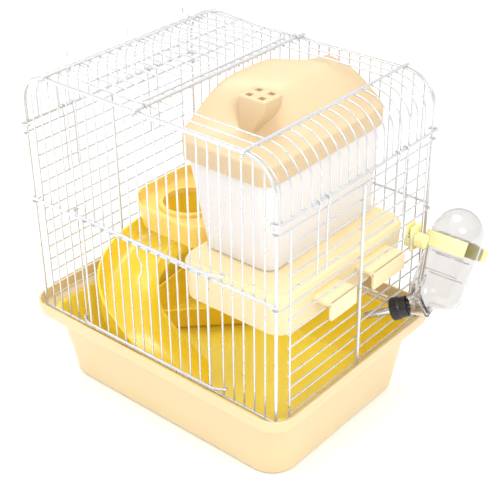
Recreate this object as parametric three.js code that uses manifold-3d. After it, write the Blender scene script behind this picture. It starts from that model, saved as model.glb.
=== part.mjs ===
// Two-storey wire hamster cage: plastic tray, five wire panels, sliding front door,
// hinged roof hatch, platform, landing, slide, hut, corner pan and a drinking bottle.
// Millimetres, +Z up. Origin: centre of the tray's underside. +X right along the
// long front, -Y towards the front.
import * as THREE from 'three';
import { mergeVertices } from 'three/addons/utils/BufferGeometryUtils.js';
import Module from 'manifold-3d';

const wasm = await Module();
wasm.setup();

// ---- driving dimensions --------------------------------------------------
const GAP = 0.35;              // clearance between pieces that touch or hook
const POST_X = 125;            // corner posts, half spacing along the front
const POST_Y = 95;             // corner posts, half spacing front to back
const THIN = 0.75;             // radius of a grid wire
const THICK = 1.3;             // radius of a frame wire
const WELD = 0.25;             // how far crossing wires are pressed together
const TOP_Z = 281;             // flat roof wires
const BEND_R = 27;             // rounded shoulders of the wire top
const MID_Z = 172.5;           // rail half way up the front and back
const FOOT_Z = 67;             // feet of the corner posts
const FRONT_PITCH = 10;        // upright wires of the front and back
const DOOR_HALF = 65;          // doorway and door, half width
const DOOR_TRAVEL = 90;
const DOOR_BOTTOM_Z = 77.5;
const DOOR_TOP_Z = 178;
const SIDE_TOP_Z = 229;        // top wire of the side panels
const SIDE_PITCH = 12.1;
const SIDE_WIRES = 14;
const SIDE_HALF = 84;          // half length of the side panels' wires
const ROOF_EDGE_Z = 237;       // lower rails of the roof panel
const ROOF_END_Y = 91.5;       // end wires of the roof panel
const ROOF_WIRES = 18;
const HATCH_X = -2;            // hinge rail of the roof hatch
const HATCH_RAIL_R = 1.6;
const HATCH_TILT = THREE.MathUtils.degToRad(3.3);  // rests on the left roof rail
const HATCH_OPEN_Y = 70;       // half length of the opening under the hatch
const TRAY_RIM_Z = 76;
const TRAY_LEDGE_Z = 66.6;
const TRAY_WALL = 2;
const TRAY_FLOOR_Z = 2.5;
const DECK_Z = 160;            // top of the platform
const BOTTLE_R = 21.8;
const BOTTLE_WALL = 1.2;

const SHOULDER_X = POST_X - BEND_R;
const SHOULDER_Z = TOP_Z - BEND_R;
const CROSS = 2 * THIN - WELD;                    // centre distance, thin on thin
const CROSS_THICK = THIN + THICK - WELD;          // centre distance, thin on thick
const SIDE_X = POST_X + THICK + GAP + THIN;       // plane of the side panels' wires
const RAIL_X = POST_X + 2 * THICK + GAP;          // lower roof rails
const RAIL_Z = TOP_Z + THIN + HATCH_RAIL_R - WELD;
const ROOF_PITCH = 2 * ROOF_END_Y / (ROOF_WIRES - 1);
const DOOR_Y = -(POST_Y + CROSS_THICK + THICK + GAP + THIN);

const v3 = (x, y, z) => new THREE.Vector3(x, y, z);
const polar = (cx, cy, r, degrees) => {
  const a = THREE.MathUtils.degToRad(degrees);
  return [cx + r * Math.cos(a), cy + r * Math.sin(a)];
};

// ---- materials -----------------------------------------------------------
const paint = (color, roughness, metalness, extra = {}) =>
  new THREE.MeshStandardMaterial({ color, roughness, metalness, ...extra });
const wireWhite = () => paint('#f2f3f4', 0.35, 0.3);
const creamPlastic = () => paint('#fde8b6', 0.4, 0);
const yellowPlastic = () => paint('#ffdd2f', 0.35, 0);
const whitePlastic = () => paint('#f6f0ec', 0.45, 0);
const clearPlastic = () => paint('#f2f4f6', 0.08, 0, { transparent: true, opacity: 0.35 });
const clipPlastic = () => paint('#f3ee9d', 0.3, 0);
const blackPlastic = () => paint('#17181a', 0.4, 0);
const rubber = () => paint('#d9d6cf', 0.8, 0);
const steel = () => paint('#c9cccf', 0.2, 1);

// ---- closed solids -------------------------------------------------------
function bare(geometry) {
  const copy = geometry.clone();
  copy.deleteAttribute('normal');
  copy.deleteAttribute('uv');
  const g = mergeVertices(copy, 1e-4);
  // triangles that merging has closed up
  const kept = [];
  const all = g.index.array;
  for (let i = 0; i < all.length; i += 3) {
    const [a, b, c] = [all[i], all[i + 1], all[i + 2]];
    if (a !== b && b !== c && c !== a) kept.push(a, b, c);
  }
  g.setIndex(kept);
  return g;
}

function volume(geometry) {
  const p = geometry.attributes.position;
  const index = geometry.index.array;
  const a = v3(), b = v3(), c = v3();
  let sum = 0;
  for (let i = 0; i < index.length; i += 3) {
    a.fromBufferAttribute(p, index[i]);
    b.fromBufferAttribute(p, index[i + 1]);
    c.fromBufferAttribute(p, index[i + 2]);
    sum += a.dot(b.cross(c));
  }
  return sum / 6;
}

function outward(geometry) {
  if (volume(geometry) < 0) {
    const index = geometry.index.array;
    for (let i = 0; i < index.length; i += 3) {
      [index[i], index[i + 1]] = [index[i + 1], index[i]];
    }
  }
  return geometry;
}

function solid(geometry) {
  const g = outward(bare(geometry));
  return new wasm.Manifold(new wasm.Mesh({
    numProp: 3,
    vertProperties: new Float32Array(g.attributes.position.array),
    triVerts: new Uint32Array(g.index.array),
  }));
}

function shape(manifold) {
  const mesh = manifold.getMesh();
  const g = new THREE.BufferGeometry();
  g.setAttribute('position', new THREE.BufferAttribute(new Float32Array(mesh.vertProperties), 3));
  g.setIndex(new THREE.BufferAttribute(new Uint32Array(mesh.triVerts), 1));
  return g;
}

const join = (geometries) => shape(geometries.map(solid).reduce((all, one) => all.add(one)));
const cut = (body, tools) => shape(tools.map(solid).reduce((all, one) => all.subtract(one), solid(body)));

// A stack of rings with the same number of points. With ends closed it is a solid;
// as a loop the last ring joins the first, which makes a tube wall.
function loft(rings, loop = false, capped = true) {
  const n = rings[0].length;
  const positions = rings.flat().flatMap((p) => [p.x, p.y, p.z]);
  const index = [];
  const last = loop ? rings.length : rings.length - 1;
  for (let i = 0; i < last; i++) {
    const a = i * n;
    const b = ((i + 1) % rings.length) * n;
    for (let j = 0; j < n; j++) {
      const k = (j + 1) % n;
      index.push(a + j, a + k, b + k, a + j, b + k, b + j);
    }
  }
  if (!loop && capped) {
    const end = (rings.length - 1) * n;
    for (let j = 1; j < n - 1; j++) {
      index.push(0, j + 1, j, end, end + j, end + j + 1);
    }
  }
  const g = new THREE.BufferGeometry();
  g.setAttribute('position', new THREE.Float32BufferAttribute(positions, 3));
  g.setIndex(index);
  return outward(g);
}

// Rounded rectangle at height z; z may be a function of x and y.
function roundRing({ x0, x1, y0, y1, r, z, steps = 4, along = 0 }) {
  const corners = [[x1 - r, y1 - r, 0], [x0 + r, y1 - r, 90], [x0 + r, y0 + r, 180], [x1 - r, y0 + r, 270]];
  const height = typeof z === 'function' ? z : () => z;
  const turns = corners.map(([cx, cy, start]) => Array.from({ length: steps + 1 }, (_, i) => polar(cx, cy, r, start + 90 * i / steps)));
  return turns.flatMap((turn, n) => {
    const [ax, ay] = turn[steps];
    const [bx, by] = turns[(n + 1) % 4][0];
    const between = Array.from({ length: along }, (_, i) => {
      const t = (i + 1) / (along + 1);
      return [ax + (bx - ax) * t, ay + (by - ay) * t];
    });
    return [...turn, ...between].map(([x, y]) => v3(x, y, height(x, y)));
  });
}

const grow = (box, d) => ({
  ...box, x0: box.x0 - d, x1: box.x1 + d, y0: box.y0 - d, y1: box.y1 + d, r: Math.max(box.r + d, 0.5),
});

function block(x0, x1, y0, y1, z0, z1) {
  const g = new THREE.BoxGeometry(x1 - x0, y1 - y0, z1 - z0);
  return g.translate((x0 + x1) / 2, (y0 + y1) / 2, (z0 + z1) / 2);
}

// A turned piece: profile points are [radius, distance along the axis].
function turned(profile, from, direction, segments = 16) {
  const points = profile.map(([r, h]) => new THREE.Vector2(r, h));
  const g = new THREE.LatheGeometry(points, segments);
  const turn = new THREE.Quaternion().setFromUnitVectors(v3(0, 1, 0), direction.clone().normalize());
  return g.applyQuaternion(turn).translate(from.x, from.y, from.z);
}

// ---- wires ---------------------------------------------------------------
// Four-sided wires, edges up, so that crossing wires meet edge on edge.
function rod(a, b, r = THIN) {
  const along = b.clone().sub(a);
  const g = new THREE.CylinderGeometry(r, r, along.length(), 4);
  g.applyQuaternion(new THREE.Quaternion().setFromUnitVectors(v3(0, 1, 0), along.clone().normalize()));
  return g.translate((a.x + b.x) / 2, (a.y + b.y) / 2, (a.z + b.z) / 2);
}

class WirePath extends THREE.Curve {
  constructor(points) {
    super();
    this.points = points;
  }

  getPointAt(t, target = v3()) {
    return target.copy(this.points[Math.round(t * (this.points.length - 1))]);
  }

  getTangentAt(t, target = v3()) {
    const last = this.points.length - 1;
    const i = Math.round(t * last);
    const before = this.points[Math.max(i - 1, 0)];
    const here = this.points[i];
    const after = this.points[Math.min(i + 1, last)];
    target.set(0, 0, 0);
    if (i > 0) target.add(here.clone().sub(before).normalize());
    if (i < last) target.add(after.clone().sub(here).normalize());
    return target.normalize();
  }
}

function bent(points, r = THIN) {
  const section = new THREE.Shape([[r, 0], [0, r], [-r, 0], [0, -r]].map(([x, y]) => new THREE.Vector2(x, y)));
  return new THREE.ExtrudeGeometry(section, { steps: points.length - 1, extrudePath: new WirePath(points) });
}

// Points of an arc round (cu, cv) in the plane given by place(u, v).
function arc(cu, cv, r, from, to, steps, place) {
  return Array.from({ length: steps + 1 }, (_, i) => place(...polar(cu, cv, r, from + (to - from) * i / steps)));
}

const CURL = 200;              // how far a hooked end wraps, in degrees
const CURL_STEPS = 5;

// ---- tray ----------------------------------------------------------------
function trayRing(hx, hy, r, z) {
  return roundRing({ x0: -hx, x1: hx, y0: -hy, y1: hy, r, z });
}

function makeTray() {
  return loft([
    trayRing(112, 79, 18, 0),
    trayRing(117.5, 84.5, 23, 3),
    trayRing(119.5, 86.5, 25, 10),
    trayRing(125.5, 94.5, 24, 60),
    trayRing(134, 103, 19, 63.6),
    trayRing(136, 105.5, 19, TRAY_RIM_Z),
    trayRing(134, 103.5, 17, TRAY_RIM_Z),
    trayRing(132.5, 101.5, 17.5, TRAY_LEDGE_Z),
    trayRing(123, 92.5, 22, TRAY_LEDGE_Z - 1.6),
    trayRing(117.5, 84.5, 23, 10),
    trayRing(115.5, 82.5, 21, 5),
    trayRing(111, 78, 17, TRAY_FLOOR_Z),
  ]);
}

// ---- front and back panels ------------------------------------------------
function archTop(x) {
  const over = Math.max(Math.abs(x) - SHOULDER_X, 0);
  return SHOULDER_Z + Math.sqrt(BEND_R ** 2 - over ** 2);
}

function archWire(y) {
  const place = (x, z) => v3(x, y, z);
  return bent([
    place(-POST_X, FOOT_Z),
    ...arc(-SHOULDER_X, SHOULDER_Z, BEND_R, 180, 90, 4, place),
    ...arc(SHOULDER_X, SHOULDER_Z, BEND_R, 90, 0, 4, place),
    place(POST_X, FOOT_Z),
  ], THICK);
}

function makeEndPanel(side, doorway) {
  const y = side * POST_Y;
  const bottom = FOOT_Z + 2.5;
  const railY = side * (POST_Y + CROSS_THICK);
  const wires = [
    archWire(y),
    rod(v3(-POST_X, y, bottom), v3(POST_X, y, bottom), THICK),
    rod(v3(-POST_X - 1, railY, MID_Z), v3(POST_X + 1, railY, MID_Z), THICK),
  ];
  for (let x = -POST_X + FRONT_PITCH; x < POST_X; x += FRONT_PITCH) {
    const from = doorway && Math.abs(x) <= DOOR_HALF ? MID_Z - THICK : bottom;
    wires.push(rod(v3(x, y, from), v3(x, y, archTop(x))));
  }
  return join(wires);
}

// ---- front door ------------------------------------------------------------
const GUIDE_X = DOOR_HALF + FRONT_PITCH;

// A door rail runs in front of the door's uprights and curls round both guides.
function doorRail(z, r) {
  const y = DOOR_Y - (THIN + r - WELD);
  const hook = THIN + GAP + r;
  const place = (x, v) => v3(x, v, z);
  const left = arc(-GUIDE_X, -POST_Y, hook, 90, 270, CURL_STEPS, place);
  const right = arc(GUIDE_X, -POST_Y, hook, -90, 90, CURL_STEPS, place);
  return bent([...left, place(-DOOR_HALF - 2, y), place(DOOR_HALF + 2, y), ...right], r);
}

function makeDoor() {
  const edge = 1.0;
  const low = DOOR_BOTTOM_Z - 1;
  const high = DOOR_TOP_Z + 1;
  const wires = [doorRail(DOOR_BOTTOM_Z, edge), doorRail(DOOR_TOP_Z, edge)];
  for (let x = -DOOR_HALF; x <= DOOR_HALF; x += FRONT_PITCH) {
    const r = Math.abs(x) === DOOR_HALF ? edge : THIN;
    if (x === -FRONT_PITCH / 2) {
      // the finger bend
      const bow = [[x, low], [x, 146], [x + 3.5, 152], [x + 3.5, 160], [x, 167], [x, high]];
      wires.push(bent(bow.map(([u, z]) => v3(u, DOOR_Y, z)), r));
    } else {
      wires.push(rod(v3(x, DOOR_Y, low), v3(x, DOOR_Y, high), r));
    }
  }
  return join(wires);
}

// ---- side panels -----------------------------------------------------------
const HOOK_YS = [-5.5, -4.5, 4.5, 5.5].map((k) => Math.sign(k) * (ROOF_END_Y - (9 - Math.abs(k)) * ROOF_PITCH));

// A wire along the side with both ends curled round the corner posts.
function hookedSideWire(side, z) {
  const place = (x, y) => v3(side * x, y, z);
  const r = SIDE_X - POST_X;
  return bent([
    ...arc(POST_X, -POST_Y, r, -CURL, 0, CURL_STEPS, place),
    ...arc(POST_X, POST_Y, r, 0, CURL, CURL_STEPS, place),
  ], THIN);
}

// A hanger runs up the panel and hooks over the lower roof rail.
function hanger(side, y) {
  const x = SIDE_X + CROSS;
  const r = THICK + GAP + THIN;
  const place = (u, z) => v3(side * u, y, z);
  return bent([
    place(x, SIDE_TOP_Z - 4 * SIDE_PITCH - 1),
    place(x, SIDE_TOP_Z),
    ...arc(RAIL_X, ROOF_EDGE_Z, r, -10, CURL, CURL_STEPS, place),
  ], THIN);
}

function makeSidePanel(side) {
  const wires = [];
  const bottom = SIDE_TOP_Z - (SIDE_WIRES - 1) * SIDE_PITCH;
  for (let k = 0; k < SIDE_WIRES; k++) {
    const z = SIDE_TOP_Z - k * SIDE_PITCH;
    const hooked = k === 0 || k === 5;
    wires.push(hooked ? hookedSideWire(side, z)
      : rod(v3(side * SIDE_X, -SIDE_HALF - 1, z), v3(side * SIDE_X, SIDE_HALF + 1, z)));
  }
  for (const [y, r] of [[-SIDE_HALF, THIN], [0, 1.4], [SIDE_HALF, THIN]]) {
    const x = side * (SIDE_X + THIN + r - WELD);
    wires.push(rod(v3(x, y, bottom - 1), v3(x, y, SIDE_TOP_Z + 1), r));
  }
  HOOK_YS.forEach((y) => wires.push(hanger(side, y)));
  return join(wires);
}

// ---- roof panel ------------------------------------------------------------
const ROOF_X = POST_X + 1.5;

function roofWire(y) {
  const place = (x, z) => v3(x, y, z);
  const left = [place(-ROOF_X, ROOF_EDGE_Z - 1),
    ...arc(-SHOULDER_X, SHOULDER_Z, BEND_R, 180, 90, 3, (x, z) => place(x === -POST_X ? -ROOF_X : x, z))];
  const right = [...left].reverse().map((p) => v3(-p.x, p.y, p.z));
  left[1].x = -ROOF_X;
  right[right.length - 2].x = ROOF_X;
  if (Math.abs(y) >= HATCH_OPEN_Y - 0.5) {
    return [bent([...left, ...right])];
  }
  return [bent([...left, place(HATCH_X + 1, TOP_Z)]), bent([place(SHOULDER_X - 1, TOP_Z), ...right])];
}

// A rail front to back on top of the roof wires, hooked down over both arches.
function roofRail(x, r) {
  const z = TOP_Z + THIN + r - WELD;
  const hook = THICK + GAP + r;
  const end = v3(x, POST_Y + hook, TOP_Z - 2);
  const front = [v3(x, -end.y, end.z), v3(x, -end.y, z - 1.5), v3(x, -POST_Y, TOP_Z + hook)];
  const back = front.map((p) => v3(p.x, -p.y, p.z)).reverse();
  return bent([...front, v3(x, -ROOF_END_Y, z), v3(x, ROOF_END_Y, z), ...back], r);
}

function roofEdge(side) {
  const place = (x, y) => v3(side * x, y, ROOF_EDGE_Z);
  const r = RAIL_X - POST_X;
  return bent([
    ...arc(POST_X, -POST_Y, r, -CURL, 0, CURL_STEPS, place),
    ...arc(POST_X, POST_Y, r, 0, CURL, CURL_STEPS, place),
  ], THICK);
}

function makeRoofPanel() {
  const wires = [];
  for (let k = 0; k < ROOF_WIRES; k++) {
    wires.push(...roofWire(-ROOF_END_Y + k * ROOF_PITCH));
  }
  wires.push(roofRail(-SHOULDER_X, 1.3), roofRail(HATCH_X, HATCH_RAIL_R), roofRail(SHOULDER_X, 1.3));
  wires.push(roofEdge(-1), roofEdge(1));
  return join(wires);
}

// ---- roof hatch, drawn flat with its hinge on the Y axis ---------------------
const HATCH = { near: 6, far: 86, half: 8 * ROOF_PITCH, corner: 10, wire: 1.0 };

function hatchFrame() {
  const { near, far, half, corner, wire } = HATCH;
  const ring = roundRing({ x0: -far, x1: -near, y0: -half, y1: half, r: corner, z: 0, steps: 3 });
  const close = rod(v3(-near, corner - half - 1, 0), v3(-near, 1, 0), wire);
  return join([bent([v3(-near, 0, 0), ...ring], wire), close]);
}

function hatchHook(y) {
  const place = (x, z) => v3(x, y, z);
  const r = HATCH_RAIL_R + GAP + THIN;
  const { near, corner } = HATCH;
  return bent([place(-near - corner - 6, CROSS), place(-near + 2, CROSS + 0.4),
    ...arc(0, 0, r, 110, -50, CURL_STEPS, place)], THIN);
}

// Latches lie under the open hatch and snap over the right roof rail when it is shut.
function hatchLatch(y) {
  const { far } = HATCH;
  const rail = SHOULDER_X - HATCH_X;
  const points = [[far - 6, CROSS], [far + 3, CROSS], [rail - 3, 3], [rail + 0.5, 2.8], [rail + 3, 0.6],
    [rail + 2.9, -3]];
  return bent(points.map(([x, z]) => v3(-x, y, -z)), THIN);
}

function makeHatch() {
  const wires = [hatchFrame()];
  for (let k = -7; k <= 7; k++) {
    const y = k * ROOF_PITCH;
    wires.push(rod(v3(-HATCH.near, y, 0), v3(-HATCH.far, y, 0)));
  }
  for (const x of [-32, -58]) {
    wires.push(rod(v3(x, -HATCH.half, -CROSS), v3(x, HATCH.half, -CROSS)));
  }
  for (const side of [-1, 1]) {
    wires.push(hatchHook(side * HATCH.half));
  }
  for (const k of [-6, 0, 6]) {
    wires.push(hatchLatch(k * ROOF_PITCH));
  }
  return join(wires);
}

// ---- platform, landing, slide ------------------------------------------------
const DECK = { x0: 12, x1: 115, y0: -76, y1: 87, r: 16 };

function makePlatform() {
  const low = grow(DECK, -2);
  const shell = loft([
    roundRing({ ...low, z: DECK_Z - 33 }),
    roundRing({ ...DECK, z: DECK_Z - 3 }),
    roundRing({ ...grow(DECK, -2), z: DECK_Z }),
    roundRing({ ...grow(DECK, -4), z: DECK_Z }),
    roundRing({ ...grow(DECK, -4), z: DECK_Z - 2 }),
    roundRing({ ...grow(DECK, -4), z: DECK_Z - 2.2 }),
    roundRing({ ...grow(low, -2), z: DECK_Z - 33 }),
  ], true);
  const plate = loft([
    roundRing({ ...grow(DECK, -3), z: DECK_Z - 2 }),
    roundRing({ ...grow(DECK, -3), z: DECK_Z }),
  ]);
  // two down-turned bars that hook over a wire of the right side panel
  const wireZ = SIDE_TOP_Z - 7 * SIDE_PITCH;
  const arms = [[-41, -9], [13, 55]].flatMap(([y0, y1]) => [
    block(DECK.x1 - 3, SIDE_X + 6, y0, y1, wireZ + THIN + GAP, wireZ + 5),
    block(SIDE_X + 2.4, SIDE_X + 6, y0, y1, wireZ - 10, wireZ + 5),
  ]);
  return join([shell, plate, ...arms]);
}

const HOLE = { x: -50, y: 6, r: 22 };
const LANDING = { x0: -87, x1: 11.4, y0: -37, y1: 60, r: 30 };
const LANDING_FLOOR_Z = 150;

function makeLanding() {
  const skirt = grow(LANDING, -2);
  const body = loft([
    roundRing({ ...grow(LANDING, -5), z: LANDING_FLOOR_Z - 13 }),
    roundRing({ ...LANDING, z: LANDING_FLOOR_Z + 8 }),
    roundRing({ ...LANDING, z: LANDING_FLOOR_Z + 11 }),
    roundRing({ ...skirt, z: LANDING_FLOOR_Z + 11 }),
    roundRing({ ...grow(LANDING, -5), z: LANDING_FLOOR_Z }),
  ]);
  const under = loft([
    roundRing({ ...grow(LANDING, -7), z: LANDING_FLOOR_Z - 14 }),
    roundRing({ ...grow(LANDING, -6), z: LANDING_FLOOR_Z - 2 }),
  ]);
  const up = v3(0, 0, 1);
  const collar = turned([[0, 0], [HOLE.r + 4, 0], [HOLE.r + 4, 3.5], [0, 3.5]],
    v3(HOLE.x, HOLE.y, LANDING_FLOOR_Z - 0.5), up, 20);
  const hole = turned([[0, 0], [HOLE.r, 0], [HOLE.r, 20], [0, 20]],
    v3(HOLE.x, HOLE.y, LANDING_FLOOR_Z - 10), up, 20);
  // tongue that lies on the edge of the platform, and the gap in the rim to it
  const tongue = block(LANDING.x1 - 4, LANDING.x1 + 4, -15, 45, DECK_Z + GAP, DECK_Z + 2);
  const rimGap = block(LANDING.x1 - 8, LANDING.x1 + 8, -14, 44, DECK_Z + 2, DECK_Z + 6);
  return cut(join([cut(body, [under]), collar, tongue]), [hole, rimGap]);
}

// Stations down the slide: inner edge x, y, outer edge x, y, floor height,
// top of the inner wall, top of the outer wall.
const SLIDE = [
  [-28, -7, -72, 19, 119, 134, 134],
  [-36, -22, -89, 0, 111, 131, 132],
  [-43, -33, -97, -22, 99, 122, 124],
  [-45, -40, -99, -44, 86, 112, 114],
  [-43, -44, -93, -64, 72, 92, 101],
  [-36, -45, -73, -79, 56, 74, 85],
  [-25, -42, -46, -82, 39, 60, 66],
  [-14, -35, -22, -82, 24, 44, 50],
  [0, -29, 2, -81, 6, 28, 32],
];

// Loft a section down the slide. Each point is [distance in from the nearer
// edge, inner side or not, height over the floor or null for the wall top].
function chute(section, lift, extra) {
  return loft(SLIDE.map(([ix, iy, ox, oy, floor, innerTop, outerTop], i) => {
    const edge = v3(ix, iy, floor);
    const across = v3(ox - ix, oy - iy, 0);
    const width = across.length();
    across.normalize();
    if (i === SLIDE.length - 1) edge.x += extra;
    return section.map(([inset, innerSide, up]) => {
      const p = edge.clone().addScaledVector(across, innerSide ? inset : width - inset);
      const top = (innerSide ? innerTop : outerTop) + lift;
      p.z = up === null ? top : floor + up;
      return p;
    });
  }));
}

function makeSlide() {
  const wall = 2;
  const radius = 26;
  const outside = [[0, true, null], [0, true, 6], [8, true, -wall], [8, false, -wall], [0, false, 6],
    [0, false, null]];
  const inside = [[wall, true, null], [wall, true, 7], [9, true, 0], [9, false, 0], [wall, false, 7],
    [wall, false, null]];
  const top = LANDING_FLOOR_Z - 2 - GAP;
  const up = v3(0, 0, 1);
  const tube = (r, z0, z1) => turned([[0, 0], [r, 0], [r, z1 - z0], [0, z1 - z0]], v3(HOLE.x, HOLE.y, z0), up, 20);
  return cut(join([tube(radius, 116, top), chute(outside, 0, 0)]),
    [chute(inside, 60, 3), tube(radius - wall, 119, top + 9)]);
}

// ---- hut -----------------------------------------------------------------------
const HUT_LOW = { x0: 16.5, x1: 83, y0: -50, y1: 86, r: 10 };
const HUT_HIGH = { x0: 2.4, x1: 85, y0: -56, y1: 89, r: 12 };
const LID = { x0: -0.6, x1: 87.6, y0: -58.6, y1: 91.6, r: 13 };
const LID_LOW_Z = 234;
const LID_SEAM = (LID.x1 - LID.x0) / 2;   // the innermost ring closes onto this line
const LID_EDGE_Z = 250;

function makeHutWalls() {
  const low = DECK_Z + GAP;
  const high = 240;
  const walls = loft([
    roundRing({ ...HUT_LOW, z: low }),
    roundRing({ ...HUT_HIGH, z: high }),
    roundRing({ ...grow(HUT_HIGH, -1.6), z: high }),
    roundRing({ ...grow(HUT_LOW, -1.6), z: low }),
  ], true);
  // arched doorway towards the landing
  const arch = new THREE.Shape();
  arch.moveTo(-16, -5);
  arch.lineTo(16, -5);
  arch.lineTo(16, 26);
  arch.absarc(0, 26, 16, 0, Math.PI, false);
  arch.lineTo(-16, -5);
  const tool = new THREE.ExtrudeGeometry(arch, { depth: 30, bevelEnabled: false, curveSegments: 8 });
  tool.rotateX(Math.PI / 2).rotateZ(Math.PI / 2).translate(0, 15, DECK_Z + 4);
  return cut(walls, [tool]);
}

// Swept roof: a broad crest running back from the left edge, with a pointed tail.
function lidHeight(x, y) {
  const s = y - 0.6 * (x - LID.x0);
  const crest = 29 * Math.exp(-(Math.abs((s - 22) / 60) ** 3.5));
  const side = THREE.MathUtils.smoothstep(LID.x1 - x, 0, 50);
  const tail = 8 * Math.exp(-(((x - 28) / 11) ** 2) - ((y - LID.y1) / 14) ** 2);
  return LID_EDGE_Z + (crest + tail) * side;
}

function lidRing(inset, drop) {
  const box = grow(LID, -inset);
  return roundRing({ ...box, r: Math.min(Math.max(13 - inset * 0.5, 1.5), LID_SEAM - inset), steps: 2, along: 4, z: (x, y) => lidHeight(x, y) - drop });
}

function makeHutRoof() {
  const insets = [LID_SEAM, 34, 24, 14, 6, 0];
  const outer = insets.map((d) => lidRing(d, 0));
  const inner = [2, 7, 14, 24, 34, LID_SEAM].map((d) => lidRing(d, 2));
  const shell = loft([
    ...outer,
    roundRing({ ...LID, steps: 2, along: 4, z: LID_LOW_Z }),
    roundRing({ ...grow(LID, -1.8), r: 12, steps: 2, along: 4, z: LID_LOW_Z }),
    ...inner,
  ], false, false);
  const chimney = block(29, 55, -22, 0, 245, 276);
  const vents = [36, 48].flatMap((x) => [-16.5, -5.5].map((y) => block(x - 3, x + 3, y - 2.6, y + 2.6, 240, 280)));
  return cut(join([shell, chimney]), vents);
}

// ---- corner pan -----------------------------------------------------------------
function makeCornerPan() {
  const leg = 76;
  const corner = v3(-108, 76, 0);
  const outline = (inset, z, rise) => {
    const r = 22 - inset;
    const pts = [];
    const centres = [[corner.x + 24, corner.y - 24, 90, 180, r + 2], [corner.x + 12, corner.y - leg + 12, 180, 315, r - 10],
      [corner.x + leg - 12, corner.y - 12, -45, 90, r - 10]];
    for (const [cx, cy, from, to, radius] of centres) {
      for (let i = 0; i <= 4; i++) {
        const [x, y] = polar(cx, cy, radius, from + (to - from) * i / 4);
        const back = THREE.MathUtils.smoothstep(y - x - (corner.y - corner.x) + 100, 0, 60);
        pts.push(v3(x, y, z + rise * back));
      }
    }
    return pts;
  };
  const z = TRAY_FLOOR_Z + GAP;
  return loft([outline(5, z, 0), outline(2, z + 3, 0), outline(0, z + 22, 16),
    outline(1.8, z + 22, 16), outline(4, z + 4, 0), outline(6, z + 2, 0)]);
}

// ---- drinking bottle, clip, cap, seal, spout --------------------------------------
const NECK = v3(145.9, 44, 110.1);                        // end of the bottle's shoulder
const NECK_DIR = v3(-0.82, -0.42, -0.39).normalize();     // from the bottle into the cage
const BODY_LOW = v3(155, 71.8, 117);
const BODY_HIGH = v3(155, 95.5, 154.6);
const BODY_AXIS = BODY_HIGH.clone().sub(BODY_LOW).normalize();

function capsule(r) {
  const length = BODY_HIGH.distanceTo(BODY_LOW);
  const quarter = (h, from) => Array.from({ length: 5 }, (_, i) => {
    const [c, s] = polar(0, 0, r, from + 22.5 * i);
    return [Math.max(c, 0), h + s];
  });
  return turned([...quarter(0, -90), ...quarter(length, 0)], BODY_LOW, BODY_AXIS, 16);
}

function shoulder(wall) {
  const profile = [[0, -20], [15 - wall, -15], [12.8 - wall, -9], [8.8 - wall, -3], [7.4 - wall, 0],
    [7.4 - wall, 8], [0, 8]];
  return turned(profile, NECK, NECK_DIR, 16);
}

const onNeck = (profile, segments) => turned(profile, NECK, NECK_DIR, segments);

function makeBottle() {
  const mouth = onNeck([[0, 5], [7.4 - BOTTLE_WALL, 5], [7.4 - BOTTLE_WALL, 12], [0, 12]], 16);
  return cut(join([capsule(BOTTLE_R), shoulder(0)]),
    [capsule(BOTTLE_R - BOTTLE_WALL), shoulder(BOTTLE_WALL), mouth]);
}

const makeCap = () => onNeck([[7.8, 0.6], [8.6, 0.6], [8.6, 6.5], [9.2, 7], [9.2, 13.2], [8.4, 14], [3.5, 14],
  [3.5, 12], [7.8, 12], [7.8, 0.6]], 20);

const makeSeal = () => onNeck([[3.6, 8.3], [7.3, 8.3], [7.3, 9.9], [3.6, 9.9], [3.6, 8.3]], 16);

const makeSpout = () => onNeck([[1.9, 10.2], [5.4, 10.2], [5.4, 11.7], [3.1, 11.7], [3.1, 36.6], [2.2, 38.2],
  [1.75, 38.2], [2.5, 36.6], [2.5, 34.2], [1.9, 34], [1.9, 10.2]], 14);

function makeBall() {
  const at = NECK.clone().addScaledVector(NECK_DIR, 36.3);
  return new THREE.SphereGeometry(2.1, 10, 8).translate(at.x, at.y, at.z);
}

// A plate on each side of the grille and an open spring ring round the bottle.
function makeClip() {
  const inner = BOTTLE_R + GAP;
  const outer = inner + 1.6;
  const [start, end] = [38, 319].map(THREE.MathUtils.degToRad);
  const ring = new THREE.Shape();
  ring.absarc(0, 0, outer, start, end, false);
  ring.absarc(0, 0, inner, end, start, true);
  const place = new THREE.Matrix4()
    .makeBasis(v3(1, 0, 0), BODY_AXIS.clone().cross(v3(1, 0, 0)), BODY_AXIS)
    .setPosition(BODY_LOW.clone().addScaledVector(BODY_AXIS, 35));
  const band = new THREE.ExtrudeGeometry(ring, { depth: 12, bevelEnabled: false, curveSegments: 24 });
  band.translate(0, 0, -6).applyMatrix4(place);
  const lip = block(inner + 0.3, outer + 5, -0.9, 0.9, -5, 5).rotateZ(start + 0.04).applyMatrix4(place);
  const face = SIDE_X + THIN + GAP;
  const back = SIDE_X - THIN - GAP;
  const z = SIDE_TOP_Z - 6.5 * SIDE_PITCH;
  const front = block(face, face + 2.8, 66, 80, z - 8, z + 14);
  const hook = block(back - 2.5, face + 1, 66, 76, z - 4, z + 4);
  const rear = block(back - 2.5, back, 67, 79, z - 4, z + 15);
  const bridge = block(face + 1, 146, 66, 76, z - 4, z + 9);
  return cut(join([band, lip, front, hook, rear, bridge]), [capsule(inner)]);
}

// ---- assembly --------------------------------------------------------------------
const cage = new THREE.Group();

function add(name, geometry, material, parent = cage) {
  const mesh = new THREE.Mesh(geometry, material);
  mesh.name = name;
  parent.add(mesh);
  return mesh;
}

add('tray', makeTray(), creamPlastic());
add('front_panel', makeEndPanel(-1, true), wireWhite());
add('back_panel', makeEndPanel(1, false), wireWhite());
add('left_panel', makeSidePanel(-1), wireWhite());
add('right_panel', makeSidePanel(1), wireWhite());
add('roof_panel', makeRoofPanel(), wireWhite());
add('front_door', makeDoor(), wireWhite());

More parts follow.
